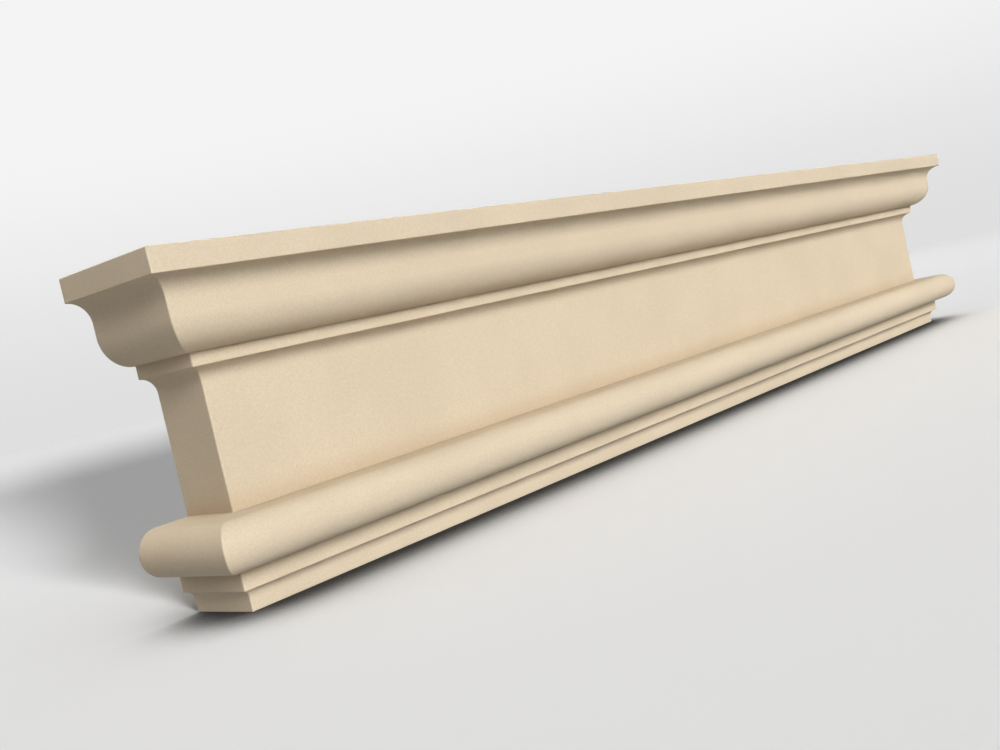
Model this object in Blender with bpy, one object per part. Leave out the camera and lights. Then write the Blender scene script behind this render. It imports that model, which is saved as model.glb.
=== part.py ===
"""String course moulding: one block of pale cast stone, moulded along its front and returned at both ends.

Metres, +Z up. The length runs along X, the moulded front faces -Y, and the flat back at +Y meets the wall.
The origin is the centre of the block's box, at bed level.
"""
import math

import bmesh
import bpy
from mathutils import Matrix

# Plan
overall_length = 1.975
bed_depth = 0.092

# Heights of the flat members, from the bed up
plinth_height = 0.012
low_fillet_height = 0.0215
frieze_height = 0.145
fillet_height = 0.014
ogee_plumb_height = 0.014
slab_height = 0.0245

# Radii of the rounds and hollows
cove_radius = 0.0115
roll_radius = 0.025
ogee_round_radius = 0.034
ogee_hollow_radius = 0.0235

# Reach of the other faces, counted from the plinth's face
frieze_setback = 0.014
roll_ledge_depth = 0.038
fillet_projection = 0.0035

# Facets of the arcs
facet_angle = math.radians(7.5)
smooth_angle = math.radians(12)

# Corners nearer than this are one
weld_distance = 1e-6

# Finish
stone_colour = (0.76, 0.63, 0.44, 1.0)
stone_roughness = 0.85


def arc(centre, radius, start, end):
    """Points (projection, height) on an arc from the start angle to the end angle, in degrees."""
    sweep = math.radians(end - start)
    count = round(abs(sweep) / facet_angle)
    angles = [math.radians(start) + sweep * step / count for step in range(count + 1)]
    return [(centre[0] + radius * math.cos(a), centre[1] + radius * math.sin(a)) for a in angles]


def section():
    """The moulded front from the bed to the top, as (projection, height) points. The plinth's face is 0."""
    cove_foot = plinth_height
    roll_foot = cove_foot + cove_radius + low_fillet_height
    roll_middle = roll_foot + roll_radius
    roll_top = roll_middle + roll_radius
    fillet_foot = roll_top + frieze_height
    fillet_top = fillet_foot + fillet_height
    plumb_foot = fillet_top + ogee_round_radius
    plumb_top = plumb_foot + ogee_plumb_height
    slab_foot = plumb_top + ogee_hollow_radius

    roll_centre = roll_ledge_depth - frieze_setback
    cavetto_radius = fillet_projection + frieze_setback
    slab_projection = fillet_projection + ogee_round_radius + ogee_hollow_radius

    points = [(0.0, 0.0)]
    points += arc((cove_radius, cove_foot), cove_radius, 180, 90)
    points += [(cove_radius, roll_foot)]
    points += arc((roll_centre, roll_middle), roll_radius, -90, 90)
    points += [(-frieze_setback, roll_top)]
    points += arc((fillet_projection, fillet_foot - cavetto_radius), cavetto_radius, 180, 90)
    points += arc((fillet_projection, plumb_foot), ogee_round_radius, -90, 0)
    points += arc((slab_projection, plumb_top), ogee_hollow_radius, 180, 90)
    points += [(slab_projection, slab_foot + slab_height)]
    return points


def prism(name, outline, half_thickness, axes):
    """A closed mesh: a flat outline given thickness, with its own X, Y and Z laid along the given axes."""
    curve = bpy.data.curves.new(name, "CURVE")
    curve.dimensions = "2D"
    curve.fill_mode = "BOTH"
    curve.extrude = half_thickness
    spline = curve.splines.new("POLY")
    spline.points.add(len(outline) - 1)
    for point, (across, up) in zip(spline.points, outline):
        point.co = (across, up, 0.0, 1.0)
    spline.use_cyclic_u = True

    drawn = bpy.data.objects.new(name, curve)
    bpy.context.scene.collection.objects.link(drawn)
    mesh = bpy.data.meshes.new_from_object(drawn.evaluated_get(bpy.context.evaluated_depsgraph_get()))
    bpy.data.objects.remove(drawn)
    mesh.transform(Matrix(axes).transposed().to_4x4())

    shape = bmesh.new()
    shape.from_mesh(mesh)
    bmesh.ops.remove_doubles(shape, verts=shape.verts, dist=weld_distance)
    bmesh.ops.recalc_face_normals(shape, faces=shape.faces)
    shape.to_mesh(mesh)
    shape.free()
    return bpy.data.objects.new(name, mesh)


def cast_stone():
    material = bpy.data.materials.new("cast_stone")
    material.use_nodes = True
    shader = material.node_tree.nodes["Principled BSDF"]
    shader.inputs["Base Color"].default_value = stone_colour
    shader.inputs["Roughness"].default_value = stone_roughness
    shader.inputs["Metallic"].default_value = 0.0
    material.diffuse_color = stone_colour
    return material


def string_course(parts, cutters):
    """The section drawn out along the front, kept where it lies inside the block's outline seen from the front.

    That outline is the same section at both ends, so the two meet in mitres and the ends are returned.
    """
    profile = section()
    reach = max(projection for projection, height in profile)
    top = profile[-1][1]
    half_length = overall_length / 2
    half_depth = (bed_depth + reach) / 2

    front = [(reach - half_depth - projection, height) for projection, height in profile]
    back = [(half_depth, top), (half_depth, 0.0)]
    block = prism("string_course", front + back, half_length + reach, ((0, 1, 0), (0, 0, 1), (1, 0, 0)))
    parts.objects.link(block)

    left = [(reach - half_length - projection, height) for projection, height in profile]
    right = [(-across, height) for across, height in reversed(left)]
    ends = prism("ends_outline", left + right, half_depth + reach, ((1, 0, 0), (0, 0, 1), (0, -1, 0)))
    ends.hide_render = True
    ends.display_type = "WIRE"
    cutters.objects.link(ends)

    # The level faces of both shapes lie in the same planes, which EXACT leaves open here.
    mitres = block.modifiers.new("mitres", "BOOLEAN")
    mitres.operation = "INTERSECT"
    mitres.solver = "MANIFOLD"
    mitres.object = ends

    block.data.materials.append(cast_stone())
    block.data.shade_smooth()
    block.data.set_sharp_from_angle(angle=smooth_angle)


def build():
    for existing in list(bpy.context.scene.objects):
        bpy.data.objects.remove(existing, do_unlink=True)
    parts = bpy.data.collections.new("string_course_moulding")
    cutters = bpy.data.collections.new("cutters")
    bpy.context.scene.collection.children.link(parts)
    bpy.context.scene.collection.children.link(cutters)
    string_course(parts, cutters)


build()
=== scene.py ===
"""The string course moulding as it looks: one block of smooth, pale cast stone on a white studio floor.

Metres, +Z up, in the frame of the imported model: length along X, moulded front towards -Y, flat back at +Y.
"""
import math

import bmesh
import bpy
from mathutils import Matrix, Vector


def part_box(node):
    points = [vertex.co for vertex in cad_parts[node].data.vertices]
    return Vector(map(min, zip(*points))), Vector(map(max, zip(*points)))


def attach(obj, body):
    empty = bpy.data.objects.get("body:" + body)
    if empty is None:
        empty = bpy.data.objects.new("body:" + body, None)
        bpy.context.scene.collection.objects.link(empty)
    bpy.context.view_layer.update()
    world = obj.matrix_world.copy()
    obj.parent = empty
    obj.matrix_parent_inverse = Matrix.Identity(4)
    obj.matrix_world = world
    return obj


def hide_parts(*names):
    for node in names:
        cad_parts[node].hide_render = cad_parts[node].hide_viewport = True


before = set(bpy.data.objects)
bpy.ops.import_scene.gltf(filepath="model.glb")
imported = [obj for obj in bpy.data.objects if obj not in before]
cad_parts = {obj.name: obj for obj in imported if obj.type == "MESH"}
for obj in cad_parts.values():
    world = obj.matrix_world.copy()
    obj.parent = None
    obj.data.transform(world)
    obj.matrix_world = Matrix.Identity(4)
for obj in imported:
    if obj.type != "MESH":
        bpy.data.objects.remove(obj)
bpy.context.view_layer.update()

# The moulding's section, from the bed up: heights of its flat members
plinth_height = 0.012
low_fillet_height = 0.0215
frieze_height = 0.145
fillet_height = 0.014
ogee_plumb_height = 0.014
slab_height = 0.0245

# Radii of its rounds and hollows
cove_radius = 0.0115
roll_radius = 0.025
ogee_round_radius = 0.034
ogee_hollow_radius = 0.0235

# Reach of its other faces: frieze and fillet from the plinth's face, the roll's ledge from the frieze's
frieze_setback = 0.014
roll_ledge_depth = 0.038
fillet_projection = 0.0035

# How far the cast arrises and inner corners are eased, and how finely the rounds are cut
arris = 0.0012
quirk = 0.0005
easing_steps = 4
round_step = 3.0

# The stone's colours: its clouds from pale to deep, its sand and grit, the painted shade in its creases, and
# its pinholes
stone_pale = (0.605, 0.507, 0.37, 1.0)
stone_deep = (0.575, 0.482, 0.352, 1.0)
sand_colour = (0.5, 0.41, 0.29, 1.0)
grit_colour = (0.66, 0.57, 0.44, 1.0)
painted_crease_shade = (0.84, 0.79, 0.74, 1.0)
hole_colour = (0.4, 0.32, 0.225, 1.0)

# The sizes and depths of the same, in metres
cloud_size = 0.12
cloud_relief = 0.0004
sand_size = 0.0022
sand_relief = 0.00012
grit_size = 0.004
hole_spacing = 0.011
hole_depth = 0.0003
# How far out the painted crease shade looks for other surfaces
painted_crease_shade_reach = 0.045

# Where each begins and ends in its pattern, and how much of it shows
noise_low = 0.35
noise_high = 0.65
sand_share = 0.35
grit_core = 0.1
grit_edge = 0.35
grit_share = 0.3
hole_core = 0.03
hole_edge = 0.06
# Openness at which the painted crease shade is full and where it fades out
painted_crease_shade_closed = 0.45
painted_crease_shade_open = 0.85

# How rough and glossy the stone is
smoothest = 0.8
roughest = 0.92
stone_gloss = 0.2

# The camera, where it stood for the photograph
camera_place = (-1.5575, -0.9385, 0.2275)
camera_heading = -48.855
camera_pitch = -3.101
camera_roll = -12.772
camera_lens = 41.25

# The studio floor, which sweeps up into a backdrop
floor_radius = 8.0
cove_sweep = 2.5
cove_steps = 12
turn_steps = 96
weld_distance = 1e-5
wall_top = 6.0

# The floor's colour and its painted shade's, where it turns into the backdrop, and the glow low down and
# high up
floor_colour = (0.92, 0.92, 0.92, 1.0)
painted_shade_black = (0.0, 0.0, 0.0, 1.0)
floor_end = 3.0
backdrop_low_glow = 0.74
backdrop_high_glow = 0.9
glow_height = 2.8

# The floor's painted shade near the block: its reach, openness where it ends and is full, and the white left
# there
painted_contact_shade = (0.2, 0.87, 0.25, 0.05)
painted_surround_shade = (0.7, 0.95, 0.5, 0.9)

# How many samples each shading node takes
shading_samples = 8

# Four broad lamps: the light's azimuth (0 in front, -90 at the left end), elevation, spread and power
stone_key = (-8.0, 24.0, 30.0, 3.65)
stone_fill = (-140.0, 45.0, 90.0, 1.25)
floor_key = (-20.0, 1.0, 14.0, 39.0)
floor_fill = (-20.0, 60.0, 60.0, 0.42)

# The lamps' colours
white_light = (1.0, 1.0, 1.0)
warm_light = (1.0, 0.93, 0.86)

# The light from everywhere else: its strength above and below, and how it fades out at the horizon
sky_colour = (1.0, 1.0, 1.0, 1.0)
zenith_glow = 0.36
ground_glow = 0.39
horizon_blur = 0.1


def arc(centre, radius, start, end):
    """Points (projection, height) on an arc from the start angle to the end angle, in degrees."""
    count = round(abs(end - start) / round_step)
    angles = [math.radians(start + (end - start) * step / count) for step in range(count + 1)]
    return [Vector((centre[0] + radius * math.cos(a), centre[1] + radius * math.sin(a))) for a in angles]


def section():
    """The moulded front as runs of points with a corner between each two: the bed, the members, the top."""
    cove_foot = plinth_height
    roll_foot = cove_foot + cove_radius + low_fillet_height
    roll_middle = roll_foot + roll_radius
    roll_top = roll_middle + roll_radius
    fillet_foot = roll_top + frieze_height
    fillet_top = fillet_foot + fillet_height
    plumb_foot = fillet_top + ogee_round_radius
    plumb_top = plumb_foot + ogee_plumb_height
    slab_foot = plumb_top + ogee_hollow_radius
    slab_top = slab_foot + slab_height

    roll_centre = roll_ledge_depth - frieze_setback
    cavetto_radius = fillet_projection + frieze_setback
    slab_projection = fillet_projection + ogee_round_radius + ogee_hollow_radius

    level_run = 2 * arris
    bed = [Vector((-level_run, 0)), Vector((0, 0))]
    plinth = [Vector((0, 0))] + arc((cove_radius, cove_foot), cove_radius, 180, 90)
    low_fillet = [plinth[-1], Vector((cove_radius, roll_foot))]
    roll = [low_fillet[-1]] + arc((roll_centre, roll_middle), roll_radius, -90, 90)
    roll += [Vector((-frieze_setback, roll_top))]
    frieze = [roll[-1]]
    frieze += arc((fillet_projection, fillet_foot - cavetto_radius), cavetto_radius, 180, 90)
    fillet = [frieze[-1], Vector((fillet_projection, fillet_top))]
    ogee = arc((fillet_projection, plumb_foot), ogee_round_radius, -90, 0)
    ogee += arc((slab_projection, plumb_top), ogee_hollow_radius, 180, 90)
    slab = [ogee[-1], Vector((slab_projection, slab_top))]
    top = [slab[-1], Vector((slab_projection - level_run, slab_top))]
    return [bed, plinth, low_fillet, roll, frieze, fillet, ogee, slab, top]


def cut_back(run, amount):
    """The run of points without its first stretch of the given length."""
    rest = list(run)
    while (rest[1] - rest[0]).length < amount:
        amount -= (rest[1] - rest[0]).length
        rest.pop(0)
    rest[0] = rest[0] + (rest[1] - rest[0]).normalized() * amount
    return rest


def ease_between(before, after):
    """How far a corner is eased: outward ones as arrises, inner ones as quirks."""
    turn = (before[-1] - before[-2]).cross(after[1] - after[0])
    return arris if turn > 0 else quirk


def eased(runs):
    """One line of points through the runs, with its corners rounded off and its two far ends left out."""
    eases = [ease_between(before, after) for before, after in zip(runs, runs[1:])]
    line = []
    for run, ease_at_start, ease_at_end in zip(runs, [0.0] + eases, eases + [0.0]):
        kept = cut_back(run, ease_at_start)
        kept = cut_back(kept[::-1], ease_at_end)[::-1]
        if line:
            arriving, leaving = line[-1], kept[0]
            for step in range(1, easing_steps):
                t = step / easing_steps
                line.append(arriving * (1 - t) ** 2 + run[0] * 2 * t * (1 - t) + leaving * t ** 2)
        line += kept
    return line[1:-1]


def plan_ring(left, right, front, back):
    """The block's outline at one level, as (x, y) points, with the four upright arrises eased."""
    west, east = left + arris, right - arris
    south, north = front + arris, back - arris
    ring = []
    for x, y, start in ((west, north, 90), (west, south, 180), (east, south, 270), (east, north, 0)):
        for step in range(easing_steps + 1):
            a = math.radians(start + 90 * step / easing_steps)
            ring.append((x + arris * math.cos(a), y + arris * math.sin(a)))
    return ring


def block():
    """The whole moulding: rings of its plan at the heights of its section, joined and closed."""
    low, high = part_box("string_course")
    profile = eased(section())
    reach = max(point.x for point in profile)
    height = high.z - low.z

    shape = bmesh.new()
    rings = []
    for projection, level in profile:
        near_edge = max(0.0, min(level, height - level, arris))
        eased_back = arris - math.sqrt(2 * arris * near_edge - near_edge ** 2)
        inset = reach - projection
        outline = plan_ring(low.x + inset, high.x - inset, low.y + inset, high.y - eased_back)
        rings.append([shape.verts.new((x, y, low.z + level)) for x, y in outline])
    for lower, upper in zip(rings, rings[1:]):
        for i in range(len(lower)):
            j = (i + 1) % len(lower)
            shape.faces.new((lower[i], lower[j], upper[j], upper[i]))
    shape.faces.new(list(reversed(rings[0])))
    shape.faces.new(rings[-1])
    bmesh.ops.recalc_face_normals(shape, faces=shape.faces)

    mesh = bpy.data.meshes.new("moulded_block")
    shape.to_mesh(mesh)
    shape.free()
    mesh.shade_smooth()
    piece = bpy.data.objects.new("moulded_block", mesh)
    bpy.context.scene.collection.objects.link(piece)
    flats = piece.modifiers.new("flat_faces_stay_flat", "WEIGHTED_NORMAL")
    flats.keep_sharp = True
    return piece


def ramp(tree, value, low, high, at_low=0.0, at_high=1.0):
    """A value that goes smoothly from at_low to at_high as another goes from low to high."""
    node = tree.nodes.new("ShaderNodeMapRange")
    node.interpolation_type = "SMOOTHSTEP"
    for name, number in (("From Min", low), ("From Max", high), ("To Min", at_low), ("To Max", at_high)):
        node.inputs[name].default_value = number
    tree.links.new(value, node.inputs["Value"])
    return node.outputs["Result"]


def by_identifier(sockets):
    """A node's sockets by their own names, which stay apart where two share a label."""
    return {socket.identifier: socket for socket in sockets}


def mixed(tree, share, first, second, way="MIX"):
    """A colour made of two others by a varying share. Each of the two is a colour or a socket."""
    node = tree.nodes.new("ShaderNodeMix")
    node.data_type = "RGBA"
    node.blend_type = way
    sockets = by_identifier(node.inputs)
    tree.links.new(share, sockets["Factor_Float"])
    for name, colour in (("A_Color", first), ("B_Color", second)):
        if isinstance(colour, bpy.types.NodeSocket):
            tree.links.new(colour, sockets[name])
        else:
            sockets[name].default_value = colour
    return by_identifier(node.outputs)["Result_Color"]


def pattern(tree, kind, where, size, output):
    """A procedural texture whose features are about the given size across."""
    node = tree.nodes.new(kind)
    node.inputs["Scale"].default_value = 1 / size
    tree.links.new(where, node.inputs["Vector"])
    return node.outputs[output]


def openness(tree, reach):
    """How much of the space around a point is free of other surfaces, out to the given reach."""
    node = tree.nodes.new("ShaderNodeAmbientOcclusion")
    node.samples = shading_samples
    node.inputs["Distance"].default_value = reach
    return node.outputs["AO"]


def cast_stone():
    """Smooth cast stone: fine sand and grit, faint clouds, a few pinholes, and painted shade darkening its
    creases.
    """
    material = bpy.data.materials.new("cast_stone_surface")
    material.use_nodes = True
    tree = material.node_tree
    shader = tree.nodes["Principled BSDF"]
    shader.inputs["Specular IOR Level"].default_value = stone_gloss
    where = tree.nodes.new("ShaderNodeTexCoord").outputs["Object"]

    clouds = pattern(tree, "ShaderNodeTexNoise", where, cloud_size, "Fac")
    sand = pattern(tree, "ShaderNodeTexNoise", where, sand_size, "Fac")
    grit = pattern(tree, "ShaderNodeTexVoronoi", where, grit_size, "Distance")
    holes = pattern(tree, "ShaderNodeTexVoronoi", where, hole_spacing, "Distance")
    holed = ramp(tree, holes, hole_core, hole_edge, 1.0, 0.0)
    # Painted shade: creases and hollows darkened by how closed in they are
    painted_crease_shade_mask = ramp(tree, openness(tree, painted_crease_shade_reach), painted_crease_shade_closed, painted_crease_shade_open, 1.0, 0.0)

    colour = mixed(tree, ramp(tree, clouds, noise_low, noise_high), stone_pale, stone_deep)
    colour = mixed(tree, ramp(tree, sand, noise_low, noise_high, 0.0, sand_share), colour, sand_colour)
    colour = mixed(tree, ramp(tree, grit, grit_core, grit_edge, grit_share, 0.0), colour, grit_colour)
    colour = mixed(tree, painted_crease_shade_mask, colour, painted_crease_shade, "MULTIPLY")
    colour = mixed(tree, holed, colour, hole_colour)
    tree.links.new(colour, shader.inputs["Base Color"])
    roughness = ramp(tree, sand, noise_low, noise_high, smoothest, roughest)
    tree.links.new(roughness, shader.inputs["Roughness"])

    normal = None
    for height, depth in ((clouds, cloud_relief), (sand, sand_relief), (holed, -hole_depth)):
        bump = tree.nodes.new("ShaderNodeBump")
        bump.inputs["Distance"].default_value = abs(depth)
        bump.invert = depth < 0
        tree.links.new(height, bump.inputs["Height"])
        if normal:
            tree.links.new(normal, bump.inputs["Normal"])
        normal = bump.outputs["Normal"]
    tree.links.new(normal, shader.inputs["Normal"])
    return material


def studio():
    """A round white floor that sweeps up into a wall, far outside every view's camera."""
    outline = [(0.0, 0.0), (floor_radius, 0.0)]
    for step in range(1, cove_steps + 1):
        a = math.radians(90 * step / cove_steps)
        outline.append((floor_radius + cove_sweep * math.sin(a), cove_sweep * (1 - math.cos(a))))
    outline.append((floor_radius + cove_sweep, wall_top))

    shape = bmesh.new()
    points = [shape.verts.new((distance, 0.0, height)) for distance, height in outline]
    line = points + [shape.edges.new(pair) for pair in zip(points, points[1:])]
    bmesh.ops.spin(shape, geom=line, cent=(0, 0, 0), axis=(0, 0, 1), angle=math.tau, steps=turn_steps)
    bmesh.ops.remove_doubles(shape, verts=shape.verts, dist=weld_distance)
    bmesh.ops.recalc_face_normals(shape, faces=shape.faces)
    mesh = bpy.data.meshes.new("studio_sweep")
    shape.to_mesh(mesh)
    shape.free()
    mesh.shade_smooth()
    mesh.materials.append(studio_white())

    sweep = bpy.data.objects.new("studio_sweep", mesh)
    bpy.context.scene.collection.objects.link(sweep)
    sweep.visible_diffuse = False
    sweep.visible_shadow = False
    return sweep


def studio_white():
    """Matt white near the block with painted shade around its foot, turning into an evenly lit backdrop
    further out.
    """
    material = bpy.data.materials.new("studio_white")
    material.use_nodes = True
    tree = material.node_tree
    place = tree.nodes.new("ShaderNodeTexCoord").outputs["Object"]

    paint = tree.nodes["Principled BSDF"]
    paint.inputs["Roughness"].default_value = 1.0
    paint.inputs["Specular IOR Level"].default_value = 0.0
    colour = floor_colour
    # Painted shade: the floor darkened towards black where the block closes it in
    for reach, most_open, most_closed, darkest in (painted_contact_shade, painted_surround_shade):
        light = ramp(tree, openness(tree, reach), most_closed, most_open, darkest)
        colour = mixed(tree, light, painted_shade_black, colour)
    tree.links.new(colour, paint.inputs["Base Color"])

    glow = tree.nodes.new("ShaderNodeEmission")
    height = tree.nodes.new("ShaderNodeSeparateXYZ")
    tree.links.new(place, height.inputs["Vector"])
    strength = ramp(tree, height.outputs["Z"], 0.0, glow_height, backdrop_low_glow, backdrop_high_glow)
    tree.links.new(strength, glow.inputs["Strength"])

    distance = tree.nodes.new("ShaderNodeVectorMath")
    distance.operation = "LENGTH"
    tree.links.new(place, distance.inputs[0])
    blend = tree.nodes.new("ShaderNodeMixShader")
    tree.links.new(ramp(tree, distance.outputs["Value"], floor_end, floor_radius), blend.inputs["Fac"])
    tree.links.new(paint.outputs["BSDF"], blend.inputs[1])
    tree.links.new(glow.outputs["Emission"], blend.inputs[2])
    tree.links.new(blend.outputs["Shader"], tree.nodes["Material Output"].inputs["Surface"])
    return material


def sky():
    """The light from everywhere else: some from above, some from below, and none from the horizon."""
    world = bpy.data.worlds.new("soft_sky")
    bpy.context.scene.world = world
    world.use_nodes = True
    tree = world.node_tree
    upward = tree.nodes.new("ShaderNodeSeparateXYZ")
    tree.links.new(tree.nodes.new("ShaderNodeTexCoord").outputs["Generated"], upward.inputs["Vector"])
    both = tree.nodes.new("ShaderNodeMath")
    both.operation = "ADD"
    tree.links.new(ramp(tree, upward.outputs["Z"], 0.0, 1.0, 0.0, zenith_glow), both.inputs[0])
    tree.links.new(ramp(tree, upward.outputs["Z"], -horizon_blur, 0.0, ground_glow, 0.0), both.inputs[1])
    background = tree.nodes["Background"]
    background.inputs["Color"].default_value = sky_colour
    tree.links.new(both.outputs["Value"], background.inputs["Strength"])


def lamp(name, aim, colour, lit):
    """A distant broad lamp that lights one object alone, though the block still shades it."""
    azimuth, elevation, spread, power = aim
    light = bpy.data.lights.new(name, "SUN")
    light.angle = math.radians(spread)
    light.energy = power
    light.color = colour
    place = bpy.data.objects.new(name, light)
    place.rotation_euler = (math.radians(90 - elevation), 0.0, math.radians(azimuth))
    bpy.context.scene.collection.objects.link(place)
    receivers = bpy.data.collections.new(name + "_receivers")
    receivers.objects.link(lit)
    place.light_linking.receiver_collection = receivers


def camera():
    """The camera of the photograph."""
    data = bpy.data.cameras.new("camera")
    data.lens = camera_lens
    view = bpy.data.objects.new("camera", data)
    heading = Matrix.Rotation(math.radians(camera_heading), 4, "Z")
    pitch = Matrix.Rotation(math.radians(90 + camera_pitch), 4, "X")
    roll = Matrix.Rotation(math.radians(camera_roll), 4, "Z")
    view.matrix_world = Matrix.Translation(camera_place) @ heading @ pitch @ roll
    bpy.context.scene.collection.objects.link(view)
    bpy.context.scene.camera = view


camera()
sky()
sweep = studio()
stone = block()
stone.data.materials.append(cast_stone())
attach(stone, "root")
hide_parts("string_course")
lamp("stone_key", stone_key, white_light, stone)
lamp("stone_fill", stone_fill, warm_light, stone)
lamp("floor_key", floor_key, white_light, sweep)
lamp("floor_fill", floor_fill, white_light, sweep)
bpy.context.scene.view_settings.view_transform = "Standard"
